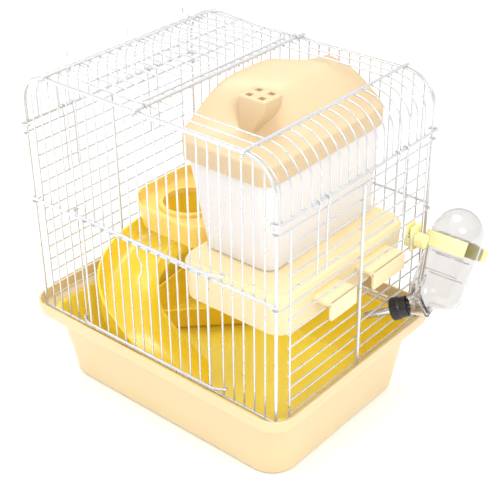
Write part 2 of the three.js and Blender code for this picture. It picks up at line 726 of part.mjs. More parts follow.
const hatch = new THREE.Group();
hatch.position.set(HATCH_X, 0, RAIL_Z);
hatch.rotation.y = HATCH_TILT;
add('roof_hatch', makeHatch(), wireWhite(), hatch);
cage.add(hatch);

add('platform', makePlatform(), creamPlastic());
add('landing', makeLanding(), creamPlastic());
add('slide', makeSlide(), yellowPlastic());
add('hut_walls', makeHutWalls(), whitePlastic());
add('hut_roof', makeHutRoof(), creamPlastic());
add('corner_pan', makeCornerPan(), yellowPlastic());
add('bottle', makeBottle(), clearPlastic());
add('bottle_cap', makeCap(), blackPlastic());
add('cap_seal', makeSeal(), rubber());
add('spout_tube', makeSpout(), steel());
add('spout_ball', makeBall(), steel());
add('bottle_clip', makeClip(), clipPlastic());

export default cage;
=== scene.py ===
"""Looks of a small two-storey wire hamster cage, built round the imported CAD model.

Sizes inside the builders are millimetres in the model's own frame: origin at the centre
of the tray's underside, +X to the right along the long front, -Y to the front, +Z up.
"""
import math

import bpy
import bmesh
import numpy as np
from mathutils import Matrix, Vector


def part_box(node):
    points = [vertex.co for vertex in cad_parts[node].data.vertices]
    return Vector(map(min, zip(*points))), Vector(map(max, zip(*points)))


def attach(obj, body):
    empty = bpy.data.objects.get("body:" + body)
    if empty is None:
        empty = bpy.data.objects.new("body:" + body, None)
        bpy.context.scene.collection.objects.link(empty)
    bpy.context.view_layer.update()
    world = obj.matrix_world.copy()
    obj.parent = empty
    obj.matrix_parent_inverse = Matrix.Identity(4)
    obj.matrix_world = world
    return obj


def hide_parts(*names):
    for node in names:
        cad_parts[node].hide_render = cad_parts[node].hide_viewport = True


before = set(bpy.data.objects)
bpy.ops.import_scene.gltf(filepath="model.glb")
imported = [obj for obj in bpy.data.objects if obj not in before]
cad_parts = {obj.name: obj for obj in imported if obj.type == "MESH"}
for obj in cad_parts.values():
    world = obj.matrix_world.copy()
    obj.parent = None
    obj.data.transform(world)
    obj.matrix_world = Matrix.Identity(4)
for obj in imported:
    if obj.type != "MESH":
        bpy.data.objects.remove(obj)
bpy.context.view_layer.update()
MM = 0.001


def extent(node):
    lo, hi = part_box(node)
    return lo * 1000, hi * 1000


# ---- sizes read from the CAD model ------------------------------------------------
TRAY_HI = extent("tray")[1]
PANEL_LO, PANEL_HI = extent("front_panel")
DOOR_LO, DOOR_HI = extent("front_door")
DECK_LO, DECK_HI = extent("platform")
LAND_LO, LAND_HI = extent("landing")

THIN, THICK, WELD, GAP = 0.75, 1.3, 0.25, 0.35
POST_X = PANEL_HI.x - THICK
POST_Y = 95.0
FOOT_Z = PANEL_LO.z
TOP_Z = PANEL_HI.z - THICK
BEND_R = 27.0
SHOULDER_X = POST_X - BEND_R
SHOULDER_Z = TOP_Z - BEND_R
MID_Z = 172.5
DOOR_HALF = 65.0
SIDE_TOP_Z, SIDE_PITCH, SIDE_WIRES, SIDE_HALF = 229.0, 12.1, 14, 84.0
ROOF_EDGE_Z, ROOF_END_Y, ROOF_WIRES = 237.0, 91.5, 18
ROOF_PITCH = 2 * ROOF_END_Y / (ROOF_WIRES - 1)
HATCH_X, HATCH_RAIL_R = -2.0, 1.6
HATCH_TILT = math.radians(3.3)
CROSS = 2 * THIN - WELD
CROSS_THICK = THIN + THICK - WELD
SIDE_X = POST_X + THICK + GAP + THIN
RAIL_X = POST_X + 2 * THICK + GAP
RAIL_Z = TOP_Z + THIN + HATCH_RAIL_R - WELD
DOOR_Y = -(POST_Y + CROSS_THICK + THICK + GAP + THIN)
CURL = 200


# ---- mesh building ---------------------------------------------------------------
class Shape:
    """Collects points and faces of one piece."""

    def __init__(self):
        self.points = []
        self.faces = []

    def rings(self, rings, loop=False, caps=True):
        """Skin a stack of rings that all have the same number of points."""
        n = len(rings[0])
        base = len(self.points)
        for ring in rings:
            self.points.extend(Vector(p) for p in ring)
        count = len(rings)
        for i in range(count if loop else count - 1):
            a = base + i * n
            b = base + ((i + 1) % count) * n
            for j in range(n):
                k = (j + 1) % n
                self.faces.append((a + j, a + k, b + k, b + j))
        if caps and not loop:
            self.faces.append(tuple(base + j for j in reversed(range(n))))
            end = base + (count - 1) * n
            self.faces.append(tuple(end + j for j in range(n)))
        return self

    def wire(self, path, r=THIN, sides=10):
        """A round wire along a path, its ends slightly rounded off."""
        path = [Vector(p) for p in path]
        tangents = []
        for i, p in enumerate(path):
            t = Vector()
            if i:
                t += (p - path[i - 1]).normalized()
            if i < len(path) - 1:
                t += (path[i + 1] - p).normalized()
            tangents.append(t.normalized())
        side = tangents[0].orthogonal().normalized()
        rings = []

        def ring(centre, tangent, radius):
            up = tangent.cross(side).normalized()
            rings.append([centre + side * (radius * math.cos(2 * math.pi * j / sides))
                          + up * (radius * math.sin(2 * math.pi * j / sides)) for j in range(sides)])

        last = len(path) - 1
        ring(path[0], tangents[0], r * 0.55)
        ring(path[0] + tangents[0] * r * 0.35, tangents[0], r)
        for i in range(1, last):
            before, after = tangents[i - 1], tangents[i]
            side = (before.rotation_difference(after) @ side).normalized()
            ring(path[i], after, r)
        if last:
            side = (tangents[last - 1].rotation_difference(tangents[last]) @ side).normalized()
        ring(path[last] - tangents[last] * r * 0.35, tangents[last], r)
        ring(path[last], tangents[last], r * 0.55)
        return self.rings(rings)

    def weld(self, centre, r=1.1):
        """The small lump of a spot weld."""
        c = Vector(centre)
        r *= 0.8
        rings = []
        for h, w in ((-0.9, 0.45), (-0.5, 0.87), (0.0, 1.0), (0.5, 0.87), (0.9, 0.45)):
            rings.append([c + Vector((w * r * math.cos(a), w * r * math.sin(a), h * r))
                          for a in (k * math.pi / 4 for k in range(8))])
        return self.rings(rings)

    def turned(self, profile, origin, direction, segments=48, loop=False):
        """A turned piece. The profile is [radius, distance along the axis]."""
        turn = Vector((0, 0, 1)).rotation_difference(Vector(direction).normalized())
        origin = Vector(origin)
        rings = []
        for r, h in profile:
            rings.append([origin + turn @ Vector((r * math.cos(a), r * math.sin(a), h))
                          for a in (2 * math.pi * k / segments for k in range(segments))])
        return self.rings(rings, loop=loop, caps=not loop)

    def box(self, lo, hi, round_by=0.6):
        """A block with rounded upright and level edges."""
        x0, y0, z0 = lo
        x1, y1, z1 = hi
        r = min(round_by, (x1 - x0) / 2.01, (y1 - y0) / 2.01, (z1 - z0) / 2.01)
        rings = []
        steps = 3
        turns = [math.pi / 2 * i / steps for i in range(steps + 1)]
        levels = [(a, z0 + r * (1 - math.cos(a))) for a in turns]
        levels += [(a, z1 - r * (1 - math.cos(a))) for a in reversed(turns)]
        for a, z in levels:
            d = r * (1 - math.sin(a))
            rings.append(round_ring(x0 + d, x1 - d, y0 + d, y1 - d, max(r - d, 0.05), z, 4))
        return self.rings(rings)

    def join(self, other):
        """Take in the points and faces of another shape."""
        start = len(self.points)
        self.points.extend(other.points)
        self.faces.extend(tuple(i + start for i in face) for face in other.faces)
        return self

    def move(self, matrix):
        self.points = [matrix @ p for p in self.points]
        return self


def round_ring(x0, x1, y0, y1, r, z, steps=12, along=(0.04, 0.25, 0.5, 0.75, 0.96)):
    """Rounded rectangle with extra points next to its corners; z may be a function."""
    height = z if callable(z) else (lambda x, y: z)
    out = []
    corners = ((x1 - r, y1 - r, 0), (x0 + r, y1 - r, 90), (x0 + r, y0 + r, 180), (x1 - r, y0 + r, 270))
    for n, (cx, cy, start) in enumerate(corners):
        for i in range(steps + 1):
            a = math.radians(start + 90 * i / steps)
            out.append((cx + r * math.cos(a), cy + r * math.sin(a)))
        nx, ny, nstart = corners[(n + 1) % 4]
        a = math.radians(nstart)
        end = (nx + r * math.cos(a), ny + r * math.sin(a))
        here = out[-1]
        for t in along:
            out.append((here[0] + (end[0] - here[0]) * t, here[1] + (end[1] - here[1]) * t))
    return [Vector((x, y, height(x, y))) for x, y in out]


def soften(profile, radius, steps=4, loop=False):
    """Round the corners of a profile of any dimension with short curves."""
    points = [tuple(float(c) for c in p) for p in profile]
    n = len(points)
    radii = radius if isinstance(radius, (list, tuple)) else [radius] * n
    out = []
    for i, p in enumerate(points):
        if not loop and i in (0, n - 1):
            out.append(p)
            continue
        a, b = points[(i - 1) % n], points[(i + 1) % n]
        da = math.dist(a, p)
        db = math.dist(b, p)
        ra = min(radii[i], da * 0.45)
        rb = min(radii[i], db * 0.45)
        if ra < 1e-4 or rb < 1e-4:
            out.append(p)
            continue
        start = [c + (d - c) * ra / da for c, d in zip(p, a)]
        end = [c + (d - c) * rb / db for c, d in zip(p, b)]
        for k in range(steps + 1):
            t = k / steps
            out.append(tuple((1 - t) ** 2 * s + 2 * t * (1 - t) * c + t * t * e
                             for s, c, e in zip(start, p, end)))
    return out


def arc(cu, cv, r, start, end, place, steps=12):
    """Points on an arc between two angles in degrees; place turns two coordinates into a point."""
    turns = [math.radians(start + (end - start) * i / steps) for i in range(steps + 1)]
    return [place(cu + r * math.cos(a), cv + r * math.sin(a)) for a in turns]


def smoothstep(x, lo, hi):
    t = min(max((x - lo) / (hi - lo), 0.0), 1.0)
    return t * t * (3 - 2 * t)


def mesh_of(shape, name="work"):
    """The shape as a mesh in metres, with its faces turned outwards."""
    mesh = bpy.data.meshes.new(name)
    mesh.from_pydata([p * MM for p in shape.points], [], shape.faces)
    bm = bmesh.new()
    bm.from_mesh(mesh)
    bmesh.ops.recalc_face_normals(bm, faces=bm.faces)
    bm.to_mesh(mesh)
    bm.free()
    return mesh


def make(name, shape, material, node, body="cage", sharp=38):
    """Turn a shape into a piece that stands for one CAD node."""
    return dress(name, mesh_of(shape, name), material, node, body, sharp)


def dress(name, mesh, material, node, body="cage", sharp=38):
    mesh.shade_smooth()
    mesh.set_sharp_from_angle(angle=math.radians(sharp))
    mesh.materials.clear()
    mesh.materials.append(material)
    piece = bpy.data.objects.new(name, mesh)
    bpy.context.scene.collection.objects.link(piece)
    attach(piece, body)
    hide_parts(node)
    return piece


def solid_mesh(shape, tools=()):
    """The shape as a mesh with the tools cut away, or joined on."""
    def temporary(part):
        o = bpy.data.objects.new("work", mesh_of(part))
        bpy.context.scene.collection.objects.link(o)
        return o

    main = temporary(shape)
    helpers = []
    for mode, tool in tools:
        helper = temporary(tool)
        helpers.append(helper)
        m = main.modifiers.new("cut", "BOOLEAN")
        m.operation = mode
        m.solver = "EXACT"
        m.object = helper
    graph = bpy.context.evaluated_depsgraph_get()
    mesh = bpy.data.meshes.new_from_object(main.evaluated_get(graph))
    for o in [main] + helpers:
        bpy.data.objects.remove(o)
    return mesh


# ---- materials ---------------------------------------------------------------------
def surface(name, light, dark, roughness, grain=320.0, bump=0.05, spread=0.05, **inputs):
    """Moulded or coated finish: cloudy colour, uneven gloss and a fine skin texture."""
    mat = bpy.data.materials.new(name)
    mat.use_nodes = True
    nodes, links = mat.node_tree.nodes, mat.node_tree.links
    bsdf = nodes["Principled BSDF"]
    where = nodes.new("ShaderNodeTexCoord")

    def noise(scale, detail=3.0):
        n = nodes.new("ShaderNodeTexNoise")
        n.inputs["Scale"].default_value = scale
        n.inputs["Detail"].default_value = detail
        links.new(where.outputs["Object"], n.inputs["Vector"])
        return n

    clouds = noise(14.0)
    ramp = nodes.new("ShaderNodeValToRGB")
    ramp.color_ramp.elements[0].position = 0.3
    ramp.color_ramp.elements[1].position = 0.7
    ramp.color_ramp.elements[0].color = (*dark, 1)
    ramp.color_ramp.elements[1].color = (*light, 1)
    links.new(clouds.outputs["Fac"], ramp.inputs["Fac"])
    links.new(ramp.outputs["Color"], bsdf.inputs["Base Color"])

    patches = noise(45.0, 4.0)
    span = nodes.new("ShaderNodeMapRange")
    span.inputs["To Min"].default_value = max(roughness - spread, 0.02)
    span.inputs["To Max"].default_value = roughness + spread
    links.new(patches.outputs["Fac"], span.inputs["Value"])
    links.new(span.outputs["Result"], bsdf.inputs["Roughness"])

    skin = noise(grain, 2.0)
    relief = nodes.new("ShaderNodeBump")
    relief.inputs["Strength"].default_value = bump
    relief.inputs["Distance"].default_value = 0.0004
    links.new(skin.outputs["Fac"], relief.inputs["Height"])
    links.new(relief.outputs["Normal"], bsdf.inputs["Normal"])
    for key, value in inputs.items():
        bsdf.inputs[key.replace("_", " ")].default_value = value
    return mat


SOFT_YELLOW = dict(Subsurface_Weight=0.12, Subsurface_Radius=(0.010, 0.007, 0.003), Subsurface_Scale=0.25)
DECK = surface("deck_plastic", (0.92, 0.76, 0.46), (0.91, 0.74, 0.435), 0.36, Coat_Weight=0.15,
               Coat_Roughness=0.2, **SOFT_YELLOW)
CREAM = surface("cream_plastic", (0.765, 0.605, 0.345), (0.755, 0.59, 0.325), 0.36, Coat_Weight=0.15,
                Coat_Roughness=0.2, **SOFT_YELLOW)
# painted light: a deeper yellow that stands in for the light bounced between the tray's walls; the tray
# itself is one plastic
PAINTED_BOUNCE_YELLOW = surface("tray_inside_painted_bounce_light", (1.0, 0.81, 0.09), (0.995, 0.785, 0.07), 0.34, Coat_Weight=0.2,
               Coat_Roughness=0.2, **SOFT_YELLOW)
LID = surface("lid_plastic", (0.70, 0.535, 0.325), (0.69, 0.52, 0.31), 0.4, Coat_Weight=0.1,
              Coat_Roughness=0.25, **SOFT_YELLOW)
LANDING = surface("landing_plastic", (0.99, 0.72, 0.20), (0.985, 0.70, 0.17), 0.24, bump=0.03,
                  Subsurface_Weight=0.2,
                  Subsurface_Radius=(0.010, 0.008, 0.002), Subsurface_Scale=0.3)
YELLOW = surface("yellow_plastic", (0.985, 0.75, 0.06), (0.98, 0.72, 0.045), 0.26, bump=0.03,
                 Subsurface_Weight=0.2, Subsurface_Radius=(0.010, 0.008, 0.001), Subsurface_Scale=0.3,
                 Coat_Weight=0.3, Coat_Roughness=0.12)
WHITE = surface("white_plastic", (0.83, 0.79, 0.765), (0.82, 0.78, 0.755), 0.42, bump=0.04,
                Subsurface_Weight=0.25, Subsurface_Radius=(0.012, 0.010, 0.009), Subsurface_Scale=0.3)
WIRE = surface("coated_wire", (0.72, 0.73, 0.745), (0.64, 0.65, 0.67), 0.28, grain=900.0, bump=0.12,
               spread=0.08, Metallic=0.6, Coat_Weight=0.22, Coat_Roughness=0.12)
CLEAR = surface("clear_plastic", (0.80, 0.79, 0.78), (0.785, 0.775, 0.765), 0.05, grain=120.0, bump=0.02,
                spread=0.03, Transmission_Weight=1.0, IOR=1.46)
CLIP = surface("clip_plastic", (0.97, 0.85, 0.46), (0.95, 0.82, 0.40), 0.26, bump=0.03,
               Subsurface_Weight=0.7, Subsurface_Scale=0.6,
               Subsurface_Radius=(0.010, 0.008, 0.003))
BLACK = surface("black_plastic", (0.018, 0.018, 0.02), (0.011, 0.011, 0.013), 0.34, bump=0.06)
RUBBER = surface("seal_rubber", (0.62, 0.60, 0.55), (0.54, 0.52, 0.48), 0.75, grain=700.0, bump=0.2)
STEEL = surface("spout_steel", (0.74, 0.75, 0.77), (0.63, 0.64, 0.66), 0.2, grain=1400.0, bump=0.05,
                Metallic=1.0)


# ---- wire panels ----------------------------------------------------------------------
def arch_top(x):
    over = max(abs(x) - SHOULDER_X, 0)
    return SHOULDER_Z + math.sqrt(BEND_R ** 2 - over ** 2)


def end_panel(name, side, doorway):
    y = side * POST_Y
    s = Shape()
    place = lambda x, z: (x, y, z)
    left = arc(-SHOULDER_X, SHOULDER_Z, BEND_R, 180, 90, place, 14)
    right = arc(SHOULDER_X, SHOULDER_Z, BEND_R, 90, 0, place, 14)
    s.wire([(-POST_X, y, FOOT_Z), (-POST_X, y, FOOT_Z + 8)] + left + right
           + [(POST_X, y, FOOT_Z + 8), (POST_X, y, FOOT_Z)], THICK, 14)
    bottom = FOOT_Z + 2.5
    rail = side * (POST_Y + CROSS_THICK)
    s.wire([(-POST_X, y, bottom), (POST_X, y, bottom)], THICK, 14)
    s.wire([(-POST_X - 1, rail, MID_Z), (POST_X + 1, rail, MID_Z)], THICK, 14)
    for k in range(-11, 13):
        x = k * 10.0 - 5.0
        open_below = doorway and abs(x) <= DOOR_HALF
        start = MID_Z - THICK if open_below else bottom
        s.wire([(x, y, start), (x, y, arch_top(x))])
        s.weld((x, y + side * 1.1, MID_Z), 1.15)
        if not open_below:
            s.weld((x, y, bottom + 1.2), 1.15)
        s.weld((x, y, arch_top(x) - 1.2), 1.15)
    for x in (-POST_X, POST_X):
        s.weld((x, y + side * 1.2, MID_Z), 1.6)
    return make(name, s, WIRE, name)


def curled(side, z, r):
    place = lambda x, y: (side * x, y, z)
    front = arc(POST_X, -POST_Y, r, -CURL, 0, place, 22)
    back = arc(POST_X, POST_Y, r, 0, CURL, place, 22)
    return front + back


def side_panel(name, side):
    s = Shape()
    bottom = SIDE_TOP_Z - (SIDE_WIRES - 1) * SIDE_PITCH
    uprights = ((-SIDE_HALF, THIN), (0.0, 1.4), (SIDE_HALF, THIN))
    hangers = [sign * (ROOF_END_Y - k * ROOF_PITCH) for sign in (-1, 1) for k in (3.5, 4.5)]
    for k in range(SIDE_WIRES):
        z = SIDE_TOP_Z - k * SIDE_PITCH
        if k in (0, 5):
            s.wire(curled(side, z, SIDE_X - POST_X), THIN, 12)
        else:
            s.wire([(side * SIDE_X, -SIDE_HALF - 1, z), (side * SIDE_X, SIDE_HALF + 1, z)])
        for y, r in uprights:
            s.weld((side * (SIDE_X + 0.9), y, z), 1.1)
        if k < 5:
            for y in hangers:
                s.weld((side * (SIDE_X + 0.85), y, z), 1.05)
    for y, r in uprights:
        x = side * (SIDE_X + THIN + r - WELD)
        s.wire([(x, y, bottom - 1), (x, y, SIDE_TOP_Z + 1)], r, 12)
    for y in hangers:
        place = lambda u, z: (side * u, y, z)
        s.wire([place(SIDE_X + CROSS, SIDE_TOP_Z - 4 * SIDE_PITCH - 1), place(SIDE_X + CROSS, SIDE_TOP_Z - 2),
                place(SIDE_X + CROSS, SIDE_TOP_Z)]
               + arc(RAIL_X, ROOF_EDGE_Z, THICK + GAP + THIN, -10, CURL, place, 20))
    return make(name, s, WIRE, name)


def roof_panel():
    s = Shape()
    edge_x = POST_X + 1.5
    span = edge_x - SHOULDER_X
    rails = ((-SHOULDER_X, 1.3), (HATCH_X, HATCH_RAIL_R), (SHOULDER_X, 1.3))
    for k in range(ROOF_WIRES):
        y = -ROOF_END_Y + k * ROOF_PITCH
        left = [(-edge_x, y, ROOF_EDGE_Z - 1), (-edge_x, y, ROOF_EDGE_Z + 6)]
        left += [(-SHOULDER_X - span * math.cos(a), y, SHOULDER_Z + BEND_R * math.sin(a))
                 for a in (math.pi / 2 * i / 16 for i in range(17))]
        right = [(-x, y, z) for x, y, z in reversed(left)]
        if abs(y) >= 69.5:
            s.wire(left + right)
        else:
            s.wire(left + [(HATCH_X + 1, y, TOP_Z)])
            s.wire([(SHOULDER_X - 1, y, TOP_Z)] + right)
        for x, r in rails:
            s.weld((x, y, TOP_Z + 0.9), 1.1)
        for side in (-1, 1):
            s.weld((side * (edge_x + 0.9), y, ROOF_EDGE_Z), 1.1)
    for x, r in rails:
        z = TOP_Z + THIN + r - WELD
        hook = THICK + GAP + r
        place = lambda v, w: (x, v, w)
        reach = POST_Y + hook
        front = arc(-POST_Y, z - hook, hook, 180, 90, place, 8)
        back = arc(POST_Y, z - hook, hook, 90, 0, place, 8)
        s.wire([(x, -reach, TOP_Z - 2)] + front + back + [(x, reach, TOP_Z - 2)], r, 12)
    for side in (-1, 1):
        s.wire(curled(side, ROOF_EDGE_Z, RAIL_X - POST_X), THICK, 14)
    return make("roof_panel", s, WIRE, "roof_panel")


def front_door():
    s = Shape()
    guide = DOOR_HALF + 10
    edge = 1.0
    low, high = DOOR_LO.z, DOOR_HI.z
    for z in (low + edge, high - edge):
        y = DOOR_Y - (THIN + edge - WELD)
        hook = THIN + GAP + edge
        place = lambda u, v: (u, v, z)
        left = arc(-guide, -POST_Y, hook, 90, 258, place, 16)
        right = arc(guide, -POST_Y, hook, -78, 90, place, 16)
        bend_l = [(-guide + 4.0, -POST_Y - hook - 2.4, z), (-DOOR_HALF - 2, y, z)]
        bend_r = [(DOOR_HALF + 2, y, z), (guide - 4.0, -POST_Y - hook - 2.4, z)]
        s.wire(left + bend_l + bend_r + right, edge, 12)
    for k in range(-6, 8):
        x = k * 10.0 - 5.0
        r = edge if abs(x) == DOOR_HALF else THIN
        if x == -5.0:
            bow = [(x, low + 0.2), (x, 145), (x + 0.6, 147.5), (x + 3.1, 151.5), (x + 3.6, 153.5),
                   (x + 3.6, 159), (x + 3.1, 161), (x + 0.5, 165), (x, 167.5), (x, high - 0.2)]
            s.wire([(u, DOOR_Y, z) for u, z in bow], r)
        else:
            s.wire([(x, DOOR_Y, low + 0.2), (x, DOOR_Y, high - 0.2)], r)
        for z in (low + edge, high - edge):
            s.weld((x, DOOR_Y - 0.95, z), 1.15)
    return make("front_door", s, WIRE, "front_door", "front_door")


def roof_hatch():
    """The hatch as it rests: open, folded back over the left half on the middle rail."""
    s = Shape()
    near, far, half, corner, r = 6.0, 86.0, 8 * ROOF_PITCH, 10.0, 1.0
    ring = []
    for cx, cy, start in ((-near - corner, half - corner, 0), (-far + corner, half - corner, 90),
                          (-far + corner, -half + corner, 180), (-near - corner, -half + corner, 270)):
        ring += [(cx + corner * math.cos(a), cy + corner * math.sin(a), 0)
                 for a in (math.radians(start + 90 * i / 8) for i in range(9))]
    s.wire([(-near, 0, 0)] + ring + [(-near, 1.0, 0)], r, 12)
    for k in range(-7, 8):
        y = k * ROOF_PITCH
        s.wire([(-near, y, 0), (-far, y, 0)])
        for x in (-32, -58):
            s.weld((x, y, -CROSS / 2), 1.05)
        for x in (-near, -far):
            s.weld((x, y, 0), 1.2)
    for x in (-32, -58):
        s.wire([(x, -half, -CROSS), (x, half, -CROSS)])
    hook = HATCH_RAIL_R + GAP + THIN
    for side in (-1, 1):
        y = side * half
        place = lambda x, z: (x, y, z)
        s.wire([(-near - corner - 6, y, CROSS), (-near - 1, y, CROSS), (-near + 2, y, CROSS + 0.4)]
               + arc(0, 0, hook, 110, -50, place, 16))
        s.weld((-near - corner - 3, y, CROSS / 2), 1.1)
    rail = SHOULDER_X - HATCH_X
    for k in (-6, 0, 6):
        y = k * ROOF_PITCH
        path = [(far - 6, CROSS), (far + 3, CROSS), (rail - 5, 2.6), (rail - 2.2, 3.05), (rail - 0.2, 3.05),
                (rail + 1.8, 2.3), (rail + 2.9, 0.8), (rail + 3.1, -0.8), (rail + 2.9, -3)]
        s.wire([(-u, y, -v) for u, v in path])
        s.weld((-far, y, -CROSS / 2), 1.1)
    s.move(Matrix.Translation((HATCH_X, 0, RAIL_Z)) @ Matrix.Rotation(HATCH_TILT, 4, "Y"))
    return make("roof_hatch", s, WIRE, "roof_hatch", "roof_hatch")


# ---- tray ---------------------------------------------------------------------------
def tray():
    top = TRAY_HI.z
    # half length, half width, corner radius and height, up the outside and down the inside
    profile = [(110.5, 77.5, 17, 0), (117.8, 84.8, 23, 0.9), (119.5, 86.5, 25, 10), (125.5, 94.5, 24, 60),
               (133.6, 102.6, 19, 62.6), (135.6, 105.1, 19, 65.5), (136, 105.5, 19, top),
               (134, 103.5, 17, top), (133.2, 102.4, 17.5, 66.6), (123.4, 92.6, 22, 65.2),
               (117.6, 84.6, 23, 10), (115, 82, 21, 3.4), (110, 77, 17, 2.5)]
    profile = soften(profile, [1, 4, 3, 4, 2.5, 2.5, 0.9, 0.9, 2, 3.5, 3, 3, 1], 5)
    s = Shape()
    s.rings([round_ring(-hx, hx, -hy, hy, r, z, 16) for hx, hy, r, z in profile])
    # short bars, hardly raised, for the dashes that show on the rim
    for y in (-56.5, 46.0):
        s.box((134.6, y - 5, 70.2), (TRAY_HI.x - 0.02, y + 5, 71.8), 0.5)
        s.box((-TRAY_HI.x + 0.02, y - 5, 70.2), (-134.6, y + 5, 71.8), 0.5)
    piece = make("tray", s, CREAM, "tray", sharp=50)
    # painted light: the inside faces get a deeper, brighter yellow painted in for the light that bounces many
    # times between the walls
    piece.data.materials.append(PAINTED_BOUNCE_YELLOW)
    for face in piece.data.polygons:
        c, n = face.center * 1000, face.normal
        inside = abs(c.x) < 124 and abs(c.y) < 93.5 and c.z > 2
        if inside and (n.z > 0.5 or n.x * c.x + n.y * c.y < 0):
            face.material_index = 1
    return piece


# ---- platform, landing and slide ---------------------------------------------------------
def platform():
    x0, x1, y0, y1, top = 12.0, 115.0, DECK_LO.y, DECK_HI.y, DECK_HI.z
    profile = [(3.2, top - 33), (2.0, top - 33), (0.3, top - 5.5), (0.0, top - 4.2), (2.2, top), (5.2, top),
               (6.4, top - 0.7), (50, top - 0.7)]
    outer = soften(profile, [0, 0.5, 0.6, 1.5, 1.5, 0.8, 0.8, 0], 4)
    inner = soften([(50, top - 2), (5, top - 2.2), (4.0, top - 5), (4.4, top - 32.6), (3.2, top - 33)],
                   [0, 2, 1, 0.4, 0], 3)
    s = Shape()
    rings = []
    for d, z in outer + inner[:-1]:
        rings.append(round_ring(x0 + d, x1 - d, y0 + d, y1 - d, max(16 - d * 0.75, 1.0), z, 14))
    s.rings(rings, loop=True)
    wire_z = SIDE_TOP_Z - 7 * SIDE_PITCH
    for a, b in ((-41, -9), (13, 55)):
        s.box((x1 - 3, a, wire_z + THIN + GAP), (SIDE_X + 5.9, b, wire_z + 5), 1.2)
        s.box((SIDE_X + 2.4, a, wire_z - 10), (SIDE_X + 6, b, wire_z + 5), 1.5)
    return make("platform", s, DECK, "platform", sharp=50)


HOLE_X, HOLE_Y, HOLE_R = -50.0, 6.0, 22.0


def landing():
    x0, x1, y0, y1, r = LAND_LO.x, 11.4, LAND_LO.y, LAND_HI.y, 30.0
    outline = lambda d, z: round_ring(x0 + d, x1 - d, y0 + d, y1 - d, max(r - d, 1.0), z, 16)
    profile = soften([(46, 150), (7, 150), (3.5, 153), (2, 160.6), (1.2, 161), (0.2, 160.4), (0, 158),
                      (4.9, 137.2), (6.6, 137), (5.6, 146), (7.5, 148), (46, 148)],
                     [0, 2.5, 2, 0.6, 0.5, 0.5, 1, 0.4, 0.4, 1.5, 1.5, 0], 4)
    s = Shape()
    s.rings([outline(d, z) for d, z in profile], loop=True)
    rim = soften([(HOLE_R - 0.5, 148.5), (HOLE_R - 0.5, 152.4), (HOLE_R + 0.4, 153), (HOLE_R + 3, 153),
                  (HOLE_R + 4, 152), (HOLE_R + 4.4, 148.5)], [0, 0.6, 0.4, 0.6, 0.8, 0], 4)
    ring = Shape().turned(rim, (HOLE_X, HOLE_Y, 0), (0, 0, 1), 64, loop=True)
    bore = Shape().turned([(HOLE_R, 130), (HOLE_R, 175)], (HOLE_X, HOLE_Y, 0), (0, 0, 1), 64)
    gap = Shape().box((x1 - 8, -14, 162 - 0.2), (x1 + 8, 44, 168), 0.3)
    tongue = Shape().box((x1 - 4, -15, DECK_HI.z + GAP), (x1 + 4, 45, 162), 0.5)
    mesh = solid_mesh(s, [("UNION", ring), ("UNION", tongue), ("DIFFERENCE", bore), ("DIFFERENCE", gap)])
    return dress("landing", mesh, LANDING, "landing", sharp=45)


def spline(points, t):
    """Catmull-Rom through points of any dimension, t from 0 to 1."""
    n = len(points) - 1
    f = min(max(t * n, 0), n - 1e-9)
    i = int(f)
    u = f - i
    p = [points[min(max(i + k, 0), n)] for k in (-1, 0, 1, 2)]
    return [0.5 * (2 * b + (c - a) * u + (2 * a - 5 * b + 4 * c - d) * u * u
                   + (3 * b - a - 3 * c + d) * u ** 3) for a, b, c, d in zip(*p)]


def slide():
    # stations: inner edge, outer edge, floor, top of the inner and of the outer wall
    stations = [(-28, -7, -72, 19, 119, 134, 134), (-36, -22, -89, 0, 111, 131, 132),
                (-43, -33, -97, -22, 99, 122, 124), (-45, -40, -99, -44, 86, 112, 114),
                (-43, -44, -93, -64, 72, 92, 101), (-36, -45, -73, -79, 56, 74, 85),
                (-25, -42, -46, -82, 39, 60, 66), (-14, -35, -22, -82, 24, 44, 50),
                (0, -29, 2, -81, 6, 28, 32)]
    s = Shape()
    rings = []
    steps = 56
    for i in range(steps + 1):
        ix, iy, ox, oy, floor, top_in, top_out = spline(stations, i / steps)
        across = Vector((ox - ix, oy - iy, 0))
        width = across.length
        across.normalize()
        start = Vector((ix, iy, 0))
        wall = 1.9
        path = soften([(wall, top_in), (wall, floor + 9), (8.5, floor), (width - 8.5, floor),
                       (width - wall, floor + 9), (width - wall, top_out)], [0, 4, 8, 8, 4, 0], 5)
        back = soften([(width - 0.1, top_out), (width - 0.1, floor + 7), (width - 8, floor - wall),
                       (8, floor - wall), (0.1, floor + 7), (0.1, top_in)], [0, 4, 8, 8, 4, 0], 5)
        ring = path + [(width - 0.5 * wall, top_out)] + back + [(0.5 * wall, top_in)]
        rings.append([start + across * a + Vector((0, 0, z)) for a, z in ring])
    s.rings(rings)
    # the half cup under the hole, on the side away from the run
    lip = LAND_LO.z + 10.6
    away = math.atan2(26, -44)
    cup = []
    for k in range(37):
        a = away - math.pi * k / 36
        d = Vector((math.cos(a), math.sin(a), 0))
        c = Vector((HOLE_X, HOLE_Y, 0))
        section = ((23.9, lip), (23.9, 122), (20, 119), (2, 119), (2, 116.2), (25.5, 116.2), (25.9, 117),
                   (25.9, lip))
        cup.append([c + d * r + Vector((0, 0, z)) for r, z in section])
    s.rings(cup)
    # collars that carry the rim of the cup further round the hole
    for first, sweep in ((away - 0.02, 48), (away - math.pi + 0.02, -48)):
        side = []
        for k in range(13):
            a = first + math.radians(sweep) * k / 12
            d = Vector((math.cos(a), math.sin(a), 0))
            c = Vector((HOLE_X, HOLE_Y, 0))
            low = 131 + 8 * k / 12
            section = ((23.9, low), (25.8, low), (25.8, lip), (23.9, lip))
            side.append([c + d * r + Vector((0, 0, z)) for r, z in section])
        s.rings(side)
    return make("slide", s, YELLOW, "slide", sharp=48)


